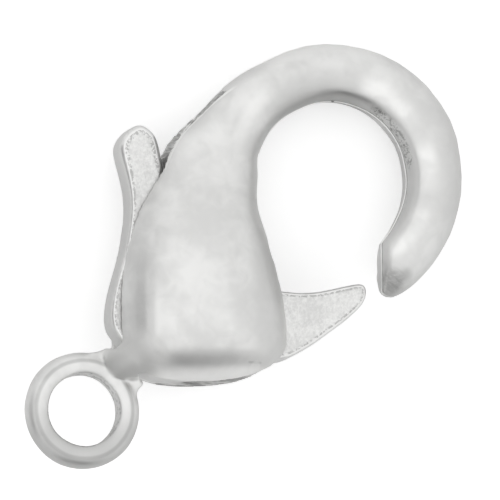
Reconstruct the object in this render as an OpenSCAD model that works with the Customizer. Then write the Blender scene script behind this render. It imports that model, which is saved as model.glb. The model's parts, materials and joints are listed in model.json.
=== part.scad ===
// Lobster clasp: a cast body with ring eye and hook, a sprung lever that closes the hook, and its pivot.
// Each piece is drawn in the clasp's middle plane: the lever's pivot at the origin, the body upright along
// +Y, the hook above it to the right and the ring eye below it to the left. Heights over the middle plane
// run along Z. lay_down() then brings the middle of the ring eye to the origin, turns the pull line from
// ring to hook onto +X, and tips the clasp onto the cheek and the hook that it rests on. Millimetres.

/* [Pull line] */
// Distance from the lever's pivot back to the middle of the ring eye
eye_reach = 2.55; // [2.5:0.01:2.9]
// Distance from the lever's pivot on to the middle of the hook's opening
hook_reach = 5.22; // [5.1:0.01:5.6]
// Distance of the pull line from the pivot, towards the spine
pull_offset = 0.045; // [0:0.005:0.1]
// Angle between the body's foot and the pull line
pull_angle = 42.5; // [40:0.1:46]

/* [Ring eye] */
// Diameter of the hole through the ring eye
eye_hole_d = 1.6; // [1.3:0.01:1.75]
// Width of the ring's wire, from the hole to the outside
eye_wall = 0.49; // [0.4:0.01:0.52]
// Thickness of the ring's wire, from face to face
eye_t = 0.6; // [0.55:0.01:0.8]
// Width of the neck between the ring eye and the body
neck_w = 1.06; // [0.8:0.01:1.2]

/* [Body] */
// Width of the body across its widest part
body_w = 3.84; // [3.7:0.01:4.1]
// Thickness of the body over both cheeks
body_t = 3.0; // [2.8:0.01:3.4]
// Depth of the body's foot below the pivot
body_drop = 1.14; // [1.1:0.01:1.3]
// Distance from the pivot across to the body's own axis
body_offset = 0.75; // [0.65:0.01:0.85]

/* [Hook] */
// Diameter of the hook's opening
hook_opening_d = 3.32; // [3:0.01:3.5]
// Width of the hook's section, across the curve
hook_w = 1.3; // [1.1:0.01:1.5]
// Thickness of the hook's section, from face to face
hook_t = 1.36; // [1.2:0.01:1.6]
// Space between the closed gate's tip and the flat seat on the hook's end
gate_gap = 0.44; // [0.35:0.01:0.55]

/* [Lever] */
// Thickness of the lever's plate
lever_t = 0.9; // [0.8:0.01:1]
// Distance from the pivot to the end of the thumb tab
tab_reach = 4.66; // [4.4:0.01:4.8]
// Distance from the pivot to the gate's tip
gate_reach = 4.6; // [4.4:0.01:4.7]
// Distance from the pivot to the heel's crown
heel_reach = 1.33; // [1.3:0.01:1.4]
// Rounding of the lever's edges
lever_edge = 0.1; // [0.05:0.01:0.15]
// Rounding of the edges round the thumb tab's head
tab_edge = 0.2; // [0.1:0.01:0.25]
// Angle that the lever opens through
lever_swing = 20; // [14:1:22]

/* [Slot] */
// Space on each side of the lever, between it and a cheek
side_play = 0.05; // [0.03:0.01:0.1]
// Space around the lever's outline over its swing
swing_play = 0.07; // [0.05:0.01:0.1]
// Depth of the groove along the spine above the thumb tab
groove_depth = 0.3; // [0.2:0.01:0.4]

/* [Pivot] */
// Diameter of the pivot pin
pin_d = 0.8; // [0.6:0.01:0.9]
// Radial space between the pin and the lever's bore
pin_play = 0.04; // [0.02:0.01:0.08]
// Radial space between the pin and the cheeks' bores
pin_seat_play = 0.01; // [0.01:0.01:0.02]
// Depth of each end of the pin under the cheek's crown
pin_cover = 0.4; // [0.35:0.01:0.5]

/* [Spring] */
// Outside diameter of the return spring
spring_d = 0.8; // [0.6:0.01:0.85]
// Diameter of the spring's wire
spring_wire = 0.16; // [0.12:0.01:0.18]
// Number of turns in the spring
spring_turns = 4.5; // [3.5:0.5:5]
// Distance from the pivot across to the spring's axis
spring_offset = 1.2; // [1.1:0.01:1.3]
// Height of the spring's pocket above the lever's foot line
spring_ceiling = 2.5; // [2.4:0.01:2.7]

/* [Rest] */
// Tip of the clasp towards the hook's end as it lies
rest_pitch = 7.1; // [6:0.1:9]
// Tip of the clasp towards its spine as it lies
rest_roll = -3.2; // [-5:0.1:0]

/* [Hidden] */

section_sides = 40;
smooth_steps = 3;
coil_steps = 14;
coil_sides = 6;
round_fn = 96;
clear = 0.02;
beyond = 3;

pull_way = [cos(pull_angle), sin(pull_angle)];
pull_side = [-pull_way[1], pull_way[0]];
eye = pull_offset * pull_side - eye_reach * pull_way;
hook = pull_offset * pull_side + hook_reach * pull_way;
eye_hole_r = eye_hole_d / 2;
opening_r = hook_opening_d / 2;
slot_t = lever_t + 2 * side_play;
lever_bore_r = pin_d / 2 + pin_play;
play_angle = 1.5;
neck_fullness = 2.1;
web_share = 0.7;
seat_top = 0.75;

// The body's sections from its foot up to the level of the hook's middle. The rise is a share of that
// height, the reaches of half the body's width, and the depth of half its thickness. The fullness squares
// off the section: one value for the spine's side and one for the hook's.
RISE = 0;
LEFT = 1;
RIGHT = 2;
DEPTH = 3;
SPINE_FULL = 4;
HOOK_FULL = 5;
BODY_ROWS = [
    [0.000, 0.30, 0.10, 0.12, 2.0, 2.0],
    [0.006, 0.48, 0.27, 0.28, 2.0, 2.0],
    [0.020, 0.64, 0.46, 0.44, 2.1, 2.1],
    [0.045, 0.77, 0.67, 0.60, 2.2, 2.2],
    [0.080, 0.87, 0.83, 0.74, 2.3, 2.3],
    [0.125, 0.945, 0.95, 0.86, 2.4, 2.4],
    [0.180, 0.985, 1.01, 0.94, 2.4, 2.4],
    [0.250, 1.000, 1.02, 0.99, 2.4, 2.4],
    [0.350, 1.000, 1.00, 1.00, 2.4, 2.4],
    [0.470, 0.985, 0.95, 0.98, 2.4, 2.4],
    [0.590, 0.935, 0.885, 0.94, 2.4, 2.4],
    [0.710, 0.860, 0.805, 0.87, 2.4, 2.35],
    [0.810, 0.770, 0.735, 0.79, 2.5, 2.3],
    [0.900, 0.665, 0.715, 0.69, 2.4, 2.2],
    [1.000, 0.525, 0.735, 0.60, 2.4, 2.15]
];

// The hook's sections from the body round to its end. The inner edge is a share of the opening's radius,
// the width of the hook's width, and the depth of half the hook's thickness.
ANGLE = 0;
INNER = 1;
WIDTH = 2;
THICK = 3;
HOOK_ROWS = [
    [168, 1.020, 1.56, 1.20, 3.2, 2.1],
    [155, 1.020, 1.245, 1.10, 3.6, 2.1],
    [141, 1.015, 1.075, 1.03, 3.0, 2.3],
    [125, 1.000, 1.00, 1.00, 2.3, 2.8],
    [100, 1.005, 0.985, 1.00, 2.05, 3.2],
    [75, 1.012, 0.99, 1.00, 2.05, 3.4],
    [50, 1.020, 1.01, 1.00, 2.05, 3.5],
    [25, 1.032, 1.01, 1.00, 2.05, 3.5],
    [0, 1.034, 0.975, 1.00, 2.05, 3.5],
    [-20, 1.046, 0.955, 1.00, 2.05, 3.4],
    [-36, 1.073, 0.935, 0.99, 2.05, 3.2],
    [-48, 1.101, 0.915, 0.96, 2.05, 3.0],
    [-56, 1.132, 0.885, 0.88, 2.05, 2.6],
    [-61, 1.170, 0.83, 0.76, 2.05, 2.2],
    [-64.5, 1.240, 0.70, 0.58, 2.0, 2.0],
    [-66.5, 1.340, 0.49, 0.38, 2.0, 2.0],
    [-67.3, 1.440, 0.25, 0.18, 2.0, 2.0]
];

// The neck's sections, from its rounded nose on the ring's wire to inside the body. The place is a share
// of the way from the ring's middle to the pivot, the reaches of half the neck's width towards the spine
// and towards the foot, and the depth of half the body's thickness.
NECK_ROWS = [
    [0.345, 0.45, -0.05, 0.08],
    [0.365, 0.72, 0.06, 0.16],
    [0.390, 0.93, 0.14, 0.24],
    [0.420, 1.08, 0.24, 0.32],
    [0.460, 1.18, 0.36, 0.40],
    [0.510, 1.25, 0.52, 0.47],
    [0.570, 1.28, 0.70, 0.53],
    [0.650, 1.28, 0.90, 0.58],
    [0.750, 1.26, 1.08, 0.60],
    [0.870, 1.12, 1.05, 0.45]
];

// The web that runs the ring's wire out into the neck on both sides. Each row is an angle from the neck's
// axis, and the distance from the ring's middle as a share of the ring's outer radius.
WEB_ROWS = [
    [-30, 0.85],
    [-27, 0.955],
    [-21, 1.045],
    [-18.5, 1.18],
    [22.5, 1.24],
    [31, 1.065],
    [41, 0.985],
    [44, 0.85],
    [7, 0.75]
];

// The lever's outline about its pivot, from the gate's tip round by the arm, tab, heel and foot. Each row
// is an angle and a share: of the gate's reach, then of the tab's, of the heel's and of the gate's again.
GATE_TOP = [
    [14.6, 0.965],
    [14.9, 0.901],
    [15.4, 0.773],
    [17.1, 0.677],
    [20.2, 0.598],
    [26.1, 0.486],
    [39.2, 0.340]
];
ARM_INSIDE = [
    [54.5, 0.267],
    [79.0, 0.349],
    [86.9, 0.473],
    [89.6, 0.644],
    [90.3, 0.751],
    [91.0, 0.835]
];
TAB_HEAD = [
    [91.8, 0.906],
    [93.1, 0.957],
    [96.3, 1.000],
    [100.0, 0.985],
    [103.0, 0.943],
    [104.4, 0.891]
];
SPINE_SIDE = [
    [104.4, 0.774],
    [104.9, 0.679],
    [107.3, 0.589],
    [111.8, 0.508],
    [118.1, 0.437],
    [127.6, 0.379]
];
HEEL = [
    [140.2, 1.174],
    [154.9, 1.063],
    [167.0, 1.000],
    [176.0, 0.940],
    [184.0, 0.860],
    [192.0, 0.815],
    [205.0, 0.790],
    [225.0, 0.780],
    [245.0, 0.780],
    [265.0, 0.780]
];
FOOT = [
    [285.0, 0.232],
    [300.2, 0.250],
    [321.6, 0.327],
    [335.5, 0.427],
    [346.0, 0.540]
];
GATE_UNDER = [
    [349.2, 0.604],
    [355.1, 0.697],
    [360.7, 0.794],
    [364.3, 0.874],
    [367.8, 0.952],
    [370.1, 0.987],
    [372.4, 1.000],
    [373.9, 0.993]
];

function polar(angle, reach) = reach * [cos(angle), sin(angle)];

function along(rows, reach) = [for (row = rows) polar(row[0], row[1] * reach)];

function turned(points, angle) = [
    for (p = points) [p[0] * cos(angle) - p[1] * sin(angle), p[0] * sin(angle) + p[1] * cos(angle)]
];

function grown(points, by) = [for (p = points) p * (1 + by / norm(p))];

// Catmull-Rom spline through four values
function glide(a, b, c, d, t) =
    0.5 * (2 * b + (c - a) * t + (2 * a - 5 * b + 4 * c - d) * t * t + (3 * b - a - 3 * c + d) * t * t * t);

function smooth_run(rows, steps) = [
    for (i = [0 : len(rows) - 2], k = [0 : steps - 1])
        glide(rows[max(i - 1, 0)], rows[i], rows[i + 1], rows[min(i + 2, len(rows) - 1)], k / steps),
    rows[len(rows) - 1]
];

function smooth_loop(points, steps) = let (n = len(points)) [
    for (i = [0 : n - 1], k = [0 : steps - 1])
        glide(points[(i + n - 1) % n], points[i], points[(i + 1) % n], points[(i + 2) % n], k / steps)
];

// The lever's edges grow rounder from the middle of the arm up to the thumb tab's head
function edge_at(p) = lookup(p[1] / tab_reach, [[0.65, lever_edge], [0.85, tab_edge]]);

// The lever's outline at one turn of its edges' rounding, on the near side (1) or the far side (-1)
function edge_ring(points, side, turn) = let (n = len(points)) [
    for (i = [0 : n - 1])
        let (
            way = points[(i + 1) % n] - points[(i + n - 1) % n],
            edge = edge_at(points[i]),
            p = points[i] + edge * (1 - cos(turn)) * [-way[1], way[0]] / norm(way)
        )
        [p[0], p[1], side * (lever_t / 2 - edge * (1 - sin(turn)))]
];

// A small ring about the pivot that meets this ring of the outline point for point
function hub_ring(ring) = [
    for (p = ring)
        let (place = polar(atan2(p[1], p[0]), pin_d / 4))
        [place[0], place[1], p[2]]
];

function power(value, p) = sign(value) * pow(abs(value), p);

// A rounded section across the path from an inner edge point to an outer one, with a fullness for each side
function section(inner, outer, half_t, outer_full, inner_full) =
    let (middle = (inner + outer) / 2, across = (inner - outer) / 2)
    [
        for (j = [0 : section_sides - 1])
            let (
                turn = 360 * j / section_sides,
                full = cos(turn) > 0 ? inner_full : outer_full,
                p = middle + power(cos(turn), 2 / full) * across
            )
            [p[0], p[1], half_t * power(sin(turn), 2 / full)]
    ];

function body_station(row) =
    let (y = (hook[1] + body_drop) * row[RISE] - body_drop)
    [
        [body_offset + row[RIGHT] * body_w / 2, y],
        [body_offset - row[LEFT] * body_w / 2, y],
        row[DEPTH] * body_t / 2,
        row[SPINE_FULL],
        row[HOOK_FULL]
    ];

function hook_station(row) = [
    hook + polar(row[ANGLE], row[INNER] * opening_r),
    hook + polar(row[ANGLE], row[INNER] * opening_r + row[WIDTH] * hook_w),
    row[THICK] * hook_t / 2,
    row[SPINE_FULL],
    row[HOOK_FULL]
];

stations = smooth_run(
    concat([for (row = BODY_ROWS) body_station(row)], [for (row = HOOK_ROWS) hook_station(row)]),
    smooth_steps
);

// Distance of the hook's and shoulder's outer edge from the hook's middle, by angle
shoulder = concat(
    [[180, norm(body_station(BODY_ROWS[len(BODY_ROWS) - 1])[1] - hook)]],
    [for (row = HOOK_ROWS) [row[ANGLE], row[INNER] * opening_r + row[WIDTH] * hook_w]]
);

lever_outline = smooth_loop(
    concat(
        along(GATE_TOP, gate_reach),
        along(ARM_INSIDE, tab_reach),
        along(TAB_HEAD, tab_reach),
        along(SPINE_SIDE, tab_reach),
        along(HEEL, heel_reach),
        along(FOOT, gate_reach),
        along(GATE_UNDER, gate_reach)
    ),
    smooth_steps
);

hub_r = HEEL[len(HEEL) - 1][1] * heel_reach;
seat_x = max([for (p = along(GATE_UNDER, gate_reach)) p[0]]) + gate_gap;

// The slot's outline: the arm's wall, the roof over the open gate, round outside the body, the wall
// behind the open heel, up outside the spine and down the floor of the groove.
groove_end = 139;
groove_top = 173;
web_end = -0.3;
HEEL_BACK = 4;
arm_wall = grown(turned([for (i = [5 : -1 : 1]) along(ARM_INSIDE, tab_reach)[i]], -play_angle), swing_play);
gate_roof = grown(
    turned([for (i = [6 : -1 : 2]) along(GATE_TOP, gate_reach)[i]], lever_swing + play_angle), swing_play
);
heel_wall = grown(
    turned([for (i = [HEEL_BACK : -1 : 0]) along(HEEL, heel_reach)[i]], lever_swing), swing_play
);
groove_floor = [
    for (share = [0, 0.25, 0.45, 0.65, 0.82, 1])
        let (angle = groove_end + share * (groove_top - groove_end))
        hook + polar(angle, lookup(angle, shoulder) - groove_depth * share)
];
slot_outline = concat(
    arm_wall,
    gate_roof,
    [
        [body_w, gate_roof[len(gate_roof) - 1][1]],
        [body_w, -beyond],
        [web_end, -beyond],
        [web_end, -hub_r / 2],
        [-hub_r / 2, 0]
    ],
    heel_wall,
    [
        [-body_w / 2 - beyond, heel_wall[len(heel_wall) - 1][1]],
        [-body_w / 2 - beyond, hook[1]],
        hook + polar(groove_end, lookup(groove_end, shoulder) + beyond)
    ],
    groove_floor
);

spring_foot = GATE_TOP[6][1] * gate_reach * sin(GATE_TOP[6][0]) + swing_play;
spring_roof = spring_ceiling - clear;

// A solid through a run of rings with the same number of points each
module loft(rings) {
    n = len(rings[0]);
    last = len(rings) - 1;
    points = [for (ring = rings, p = ring) p];
    walls = [
        for (i = [0 : last - 1], j = [0 : n - 1])
            let (a = i * n + j, b = i * n + (j + 1) % n)
            each [[a, b, b + n], [a, b + n, a + n]]
    ];
    foot = [[for (j = [n - 1 : -1 : 0]) j]];
    crown = [[for (j = [0 : n - 1]) last * n + j]];
    polyhedron(points, concat(foot, walls, crown), convexity = 8);
}

module lay_down() {
    rotate([rest_roll, rest_pitch, 0])
        rotate([0, 0, -pull_angle])
            translate([-eye[0], -eye[1], 0])
                children();
}

// Thin web round the corners between the ring's wire and the neck
module web() {
    neck_turn = atan2(-eye[1], -eye[0]);
    ring_r = eye_hole_r + eye_wall;
    translate([0, 0, -web_share * eye_t / 2])
        linear_extrude(web_share * eye_t)
            polygon([for (row = WEB_ROWS) eye + polar(neck_turn + row[0], row[1] * ring_r)]);
}

// Cheeks, shoulder and hook in one run of sections
module casting() {
    loft([for (s = stations) section(s[0], s[1], s[2], s[3], s[4])]);
}

module neck() {
    way = -eye / norm(eye);
    side = [-way[1], way[0]];
    loft([
        for (row = NECK_ROWS)
            let (place = eye + way * row[0] * eye_reach)
            section(
                place - side * row[2] * neck_w / 2,
                place + side * row[1] * neck_w / 2,
                row[3] * body_t / 2,
                neck_fullness,
                neck_fullness
            )
    ]);
}

module ring_wire() {
    translate([eye[0], eye[1], 0])
        rotate_extrude($fn = round_fn)
            translate([eye_hole_r + eye_wall - eye_t / 2, 0])
                circle(d = eye_t, $fn = 48);
}

module slot() {
    translate([0, 0, -slot_t / 2])
        linear_extrude(slot_t)
            union() {
                polygon(slot_outline);
                circle(r = hub_r + 2 * swing_play, $fn = round_fn);
                translate([spring_offset - spring_d / 2 - swing_play, spring_foot])
                    square([spring_d + 2 * swing_play, spring_ceiling - spring_foot]);
            }
}

pin_half = body_t / 2 - pin_cover;

// One casting: both cheeks, the hook, the neck and the ring eye
module body() {
    color([0.84, 0.84, 0.85])
        lay_down()
            difference() {
                union() {
                    casting();
                    neck();
                    web();
                    ring_wire();
                }
                slot();
                translate([eye[0], eye[1], 0])
                    cylinder(r = eye_hole_r, h = 2 * eye_t, center = true, $fn = round_fn);
                cylinder(d = pin_d + 2 * pin_seat_play, h = 2 * pin_half + 2 * clear, center = true, $fn = 48);
                translate([seat_x - hook_w, 0, -hook_t])
                    cube([hook_w, hook[1] - seat_top * opening_r, 2 * hook_t]);
            }
}

// The trigger: thumb tab, spine, heel and gate in one plate with rounded edges
module lever() {
    turns = [90, 60, 30, 0];
    near = [for (turn = turns) edge_ring(lever_outline, 1, turn)];
    far = [for (i = [len(turns) - 1 : -1 : 0]) edge_ring(lever_outline, -1, turns[i])];
    color([0.8, 0.8, 0.81])
        lay_down()
            difference() {
                loft(concat([hub_ring(near[0])], near, far, [hub_ring(far[len(far) - 1])]));
                cylinder(r = lever_bore_r, h = 2 * lever_t, center = true, $fn = 48);
            }
}

// A plain pin through both cheeks and the lever
module pivot_pin() {
    color([0.7, 0.7, 0.72])
        lay_down()
            cylinder(d = pin_d, h = 2 * pin_half, center = true, $fn = 48);
}

// A small compression coil between the gate's root and the body
module spring() {
    steps = round(coil_steps * spring_turns);
    coil_r = (spring_d - spring_wire) / 2;
    foot = spring_foot + spring_wire / 2;
    rise = spring_roof - spring_wire / 2 - foot;
    color([0.6, 0.6, 0.62])
        lay_down()
            loft([
                for (i = [0 : steps])
                    let (turn = 360 * spring_turns * i / steps, out = [cos(turn), 0, sin(turn)])
                    [
                        for (j = [0 : coil_sides - 1])
                            let (side = 360 * j / coil_sides)
                            [spring_offset, foot + rise * i / steps, 0]
                            + out * (coil_r + cos(side) * spring_wire / 2)
                            - [0, sin(side) * spring_wire / 2, 0]
                    ]
            ]);
}

body();
lever();
pivot_pin();
spring();
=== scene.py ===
"""Looks of a cast lobster clasp: polished casting, frosted lever, pin, return spring and a pale stage."""

import json
import math

import bmesh
import bpy
from mathutils import Matrix, Quaternion, Vector


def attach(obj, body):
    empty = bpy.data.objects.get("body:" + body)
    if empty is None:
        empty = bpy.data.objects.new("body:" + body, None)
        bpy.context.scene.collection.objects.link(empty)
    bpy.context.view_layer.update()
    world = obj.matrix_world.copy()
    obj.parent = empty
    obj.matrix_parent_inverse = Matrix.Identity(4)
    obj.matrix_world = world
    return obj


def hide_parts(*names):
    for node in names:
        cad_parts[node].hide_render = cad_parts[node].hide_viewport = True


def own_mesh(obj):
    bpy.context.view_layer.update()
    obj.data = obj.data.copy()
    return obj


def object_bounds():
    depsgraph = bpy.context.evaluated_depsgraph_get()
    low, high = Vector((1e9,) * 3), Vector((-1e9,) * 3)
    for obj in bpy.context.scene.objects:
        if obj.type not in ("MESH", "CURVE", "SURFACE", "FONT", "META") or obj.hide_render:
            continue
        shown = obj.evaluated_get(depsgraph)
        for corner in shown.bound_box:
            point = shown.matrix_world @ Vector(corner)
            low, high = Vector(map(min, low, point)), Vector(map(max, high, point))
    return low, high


bl_info = {
    "name": "Lobster Clasp Looks",
    "version": (1, 0, 0),
    "blender": (4, 5, 0),
    "location": "View3D > Sidebar > Clasp",
    "description": "Models and finishes a small cast clasp with a sprung lever",
    "category": "Object",
}

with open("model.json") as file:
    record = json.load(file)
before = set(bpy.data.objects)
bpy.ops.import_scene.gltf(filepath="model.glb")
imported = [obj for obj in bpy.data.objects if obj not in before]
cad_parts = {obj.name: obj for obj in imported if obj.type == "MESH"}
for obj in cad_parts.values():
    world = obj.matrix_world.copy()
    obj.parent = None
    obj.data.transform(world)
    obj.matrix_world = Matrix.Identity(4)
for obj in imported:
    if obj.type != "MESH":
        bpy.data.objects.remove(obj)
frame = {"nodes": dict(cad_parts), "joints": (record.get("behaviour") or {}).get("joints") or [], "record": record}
cad_box = [list(corner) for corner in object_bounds()]


def named(rows, name):
    """The row of this name in one of the frame's lists."""
    return next(row for row in rows if row["name"] == name)


# Pieces are modelled enlarged, a millimetre to the unit, and brought back to metres when they are finished.
MM = 1000.0

HINGE = named(frame["joints"], "gate_hinge")
EYE = named(frame["record"]["mounts"], "ring_eye")
SEAT = named(frame["record"]["mounts"], "hook_seat")
PIVOT = Vector(HINGE["pos_m"]) * MM
ACROSS = Vector(HINGE["axis"]).normalized()

# The photograph's own axes on the clasp's middle plane: to the right along the foot, and up towards the hook.
PULL_ANGLE = math.radians(42.5)
PULL_WAY = (Vector((1, 0, 0)) - ACROSS * ACROSS.x).normalized()
RIGHT = Quaternion(ACROSS, -PULL_ANGLE) @ PULL_WAY
UP = ACROSS.cross(RIGHT)


def upright(point):
    """A place in millimetres as distances from the pivot: to the right, up, and out from the middle plane."""
    arm = point - PIVOT
    return Vector((arm.dot(RIGHT), arm.dot(UP), arm.dot(ACROSS)))


def laid(right, up, out=0.0):
    """The place in millimetres that lies so far right of, above and out from the pivot."""
    return PIVOT + RIGHT * right + UP * up + ACROSS * out


def upright_way(angle):
    """The upright vector of length 1 at this angle up from the right."""
    return Vector((math.cos(angle), math.sin(angle), 0))


def laid_way(angle):
    """The direction in the scene at this angle up from the right, on the clasp's middle plane."""
    return RIGHT * math.cos(angle) + UP * math.sin(angle)


def gap(place, centre):
    """The distance from a centre to an upright place, seen square to the middle plane."""
    return (place.xy - centre.xy).length


def bearing(place, centre):
    """The direction from a centre to an upright place, in degrees up from the right."""
    arm = place - centre
    return math.degrees(math.atan2(arm.y, arm.x))


# Sizes in millimetres: half the slot's width, and the radii of the hook's opening and of the ring's hole
SLOT_HALF = 0.5
OPENING_R = 1.70
HOLE_R = EYE["dims"]["r_mm"]

# Upright places in millimetres: the centres of the ring eye and of the hook's opening, the filed patch on the
# hook's end and the dark spot on it, the nick in the foot, the speck under the shoulder, and the neck behind
# its nose
EYE_AT = upright(Vector(EYE["pos_m"]) * MM)
HOOK_AT = upright(Vector(SEAT["pos_m"]) * MM) - OPENING_R * upright_way(PULL_ANGLE)
FILED_AT = Vector((5.06, 1.21, 0))
SPOT_AT = Vector((5.36, 1.36, 0))
NICK_AT = Vector((1.84, -0.80, 0))
SPECK_AT = Vector((2.30, 2.46, 0))
NECK_AT = Vector((-0.95, -0.80, 0))

# The mould's seam: how far out it runs from the middle plane, and the stub that the sprue left on it
SEAM_OUT = 0.08
STUB_AT = HOOK_AT + (OPENING_R - 0.01) * upright_way(math.radians(87.3))
STUB_OUT = 0.12
STUB_R = 0.045
STUB_STRETCH = (1.3, 1.0, 1.1)

# The pin's broken edge
PIN_EDGE = 0.06

# The bend from which an edge of the casting counts as sharp, and the distances from such an edge in which the
# smoothing sets in and is at its full strength
SHARP_BEND = math.radians(38)
EDGE_NEAR = 0.03
EDGE_FAR = 0.16

# How many times the polish's rounds go over the corners inside the hook and over the neck's flanks
BAND_TIMES = 3
NECK_TIMES = 4

# The size of the waves that polishing leaves, and the distance below which two points are taken for one
WAVE_SIZE = 0.9
SAME_POINT = 0.0005

# Patterns drawn out into lines: how often each repeats in a metre along X, Y and Z, once it is turned
SCRATCH_REPEATS = (26000, 900, 900)
FILE_REPEATS = (15000, 2500, 2500)
BRUSH_REPEATS = (13000, 4200, 4200)
WIRE_REPEATS = (3000, 3000, 20000)
ROD_REPEATS = (2000, 2000, 9000)

# The hook's gleams about the centre of its opening: the middle of each and half its width, in degrees
GLEAMS = ((53.0, 12.0), (4.0, 6.0), (-40.0, 14.0))

# The casting's tints, both real marks and painted light and shade, in the order in which they are laid on: the
# mark, the share in which it covers what is there, and its tone as a multiple of the plating's colour
CASTING_TINTS = (
    ("crown_light", 0.6, 1.22),
    ("hook_side_shade", 0.6, 0.86),
    ("body_side_shade", 0.6, 0.87),
    ("foot_shade", 0.6, 0.82),
    ("neck_shade", 0.8, 0.78),
    ("crown_shade", 0.85, 0.70),
    ("gleam", 0.75, 1.22),
    ("shoulder_gleam", 0.5, 1.2),
    ("inner_band_shade", 0.3, 0.75),
    ("band_end_shade", 0.1, 0.6),
    ("end_shade", 0.32, 0.60),
    ("end_spot", 0.45, 0.45),
    ("beside_seam_shade", 0.8, 0.25),
    ("flash", 0.7, 0.30),
    ("filed", 0.25, 0.6),
    ("hatching", 0.6, 0.45),
    ("ring_low_shade", 0.9, 0.76),
    ("ring_line_shade", 0.4, 0.4),
    ("hole_wall", 0.35, 0.4),
    ("nick_line", 0.4, 0.5),
    ("speck", 0.7, 0.25),
    ("nick", 0.4, 1.15),
    ("foot_lip_highlight", 0.6, 1.3),
    ("groove_rim_highlight", 0.8, 1.25),
    ("seam_bead_highlight", 0.9, 1.3),
)

# The stage in metres: the floor, the soft boxes over the clasp, and the cards at its sides
FLOOR_SIZE = 3.0
OVERHEAD_SIZES = (0.16, 0.30, 0.46)
OVERHEAD_AWAY = 0.3
CARD_SIZE = (0.34, 0.22)
CARD_AWAY = 0.34
CARD_RISE = 0.13

# Each card's name, its direction up from the right in degrees, and its glow
SIDE_CARDS = (
    ("card_left", 180.0, 0.25),
    ("card_right", 0.0, 0.85),
    ("card_below", 270.0, 0.12),
    ("card_above", 90.0, 0.95),
)

# The camera's sensor in millimetres, its near limit in widths of the picture, and its far limit as a multiple
# of its distance
SENSOR = 36.0
NEAR_LIMIT = 0.1
FAR_LIMIT = 40


class CastingSettings(bpy.types.PropertyGroup):
    """Sizes and finish of the casting"""

    grain: bpy.props.FloatProperty(
        name="Surface grain", description="Mesh spacing of the casting, in millimetres", default=0.034)
    softness: bpy.props.IntProperty(
        name="Polish", description="Rounds of smoothing away from the edges", default=36)
    edge_softness: bpy.props.IntProperty(
        name="Edge polish", description="Rounds of smoothing everywhere, which round the edges", default=5)
    waviness: bpy.props.FloatProperty(
        name="Waviness", description="Depth of the hand-polished unevenness, in millimetres", default=0.03)
    seam: bpy.props.FloatProperty(
        name="Seam", description="Radius of the mould seam's bead, in millimetres", default=0.022)
    faces: bpy.props.IntProperty(
        name="Triangles", description="Triangles that the casting keeps before its seam is laid",
        default=180000)
    colour: bpy.props.FloatVectorProperty(
        name="Plating", description="Colour of the plating", subtype="COLOR", size=3,
        default=(0.76, 0.76, 0.75))
    roughness: bpy.props.FloatProperty(
        name="Roughness", description="Roughness of the polished plating", subtype="FACTOR", default=0.44)


class LeverSettings(bpy.types.PropertyGroup):
    """Sizes and finish of the lever"""

    grain: bpy.props.FloatProperty(
        name="Surface grain", description="Mesh spacing of the lever, in millimetres", default=0.026)
    edge_softness: bpy.props.IntProperty(
        name="Edge polish", description="Rounds of smoothing", default=6)
    faces: bpy.props.IntProperty(
        name="Triangles", description="Triangles that the finished lever keeps", default=120000)
    colour: bpy.props.FloatVectorProperty(
        name="Metal", description="Colour of the lever's metal", subtype="COLOR", size=3,
        default=(0.80, 0.80, 0.79))


class StageSettings(bpy.types.PropertyGroup):
    """Floor, lights and camera"""

    floor_colour: bpy.props.FloatVectorProperty(
        name="Floor", description="Colour of the floor", subtype="COLOR", size=3, default=(0.78, 0.78, 0.78))
    ambient: bpy.props.FloatProperty(
        name="Ambient", description="Brightness of the surroundings", default=0.94)
    overhead: bpy.props.FloatProperty(
        name="Overhead", description="Brightness of the soft boxes over the clasp", default=0.16)
    floor_glow: bpy.props.FloatProperty(
        name="Floor glow", description="Light that lifts the floor to paper white for the camera",
        default=0.42)
    frame_width: bpy.props.FloatProperty(
        name="Framed width", description="Width of the picture at the clasp", unit="LENGTH", default=0.01104)
    lens: bpy.props.FloatProperty(
        name="Lens", description="Focal length in millimetres on a 36 mm sensor", default=1200.0)
    aim: bpy.props.FloatVectorProperty(
        name="Aim", description="Where the camera looks, right of and above the pivot, in millimetres",
        size=2, default=(1.953, 1.920))
    view_tilt: bpy.props.FloatProperty(
        name="View tilt", description="Angle between the view and the clasp's hinge", subtype="ANGLE",
        default=math.radians(15))
    view_tilt_way: bpy.props.FloatProperty(
        name="Tilt direction", description="Direction of that tilt on the clasp's middle plane",
        subtype="ANGLE", default=math.radians(209.0))


def only(piece):
    """Select this object alone and make it the active one."""
    bpy.ops.object.select_all(action="DESELECT")
    piece.select_set(True)
    bpy.context.view_layer.objects.active = piece


def edit_all(piece):
    """Open the piece in edit mode with all of it selected."""
    only(piece)
    bpy.ops.object.mode_set(mode="EDIT")
    bpy.ops.mesh.select_all(action="SELECT")


def stop_editing():
    bpy.ops.object.mode_set(mode="OBJECT")


def settle(piece):
    """Put the piece's place, turn and scale into its mesh."""
    only(piece)
    bpy.ops.object.transform_apply(location=True, rotation=True, scale=True)


def apply_modifier(piece, kind, **settings):
    """Put a modifier with these settings on the piece and apply it."""
    modifier = piece.modifiers.new(kind.title(), kind)
    for name, value in settings.items():
        setattr(modifier, name, value)
    only(piece)
    bpy.ops.object.modifier_apply(modifier=modifier.name)


def smooth(piece, rounds, **settings):
    """Smooth the piece so many rounds, all over unless a vertex group is named."""
    apply_modifier(piece, "SMOOTH", factor=0.5, iterations=rounds, **settings)


def remesh(piece, spacing):
    """Give the piece one even skin with this mesh spacing."""
    apply_modifier(piece, "REMESH", mode="VOXEL", voxel_size=spacing)


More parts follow.
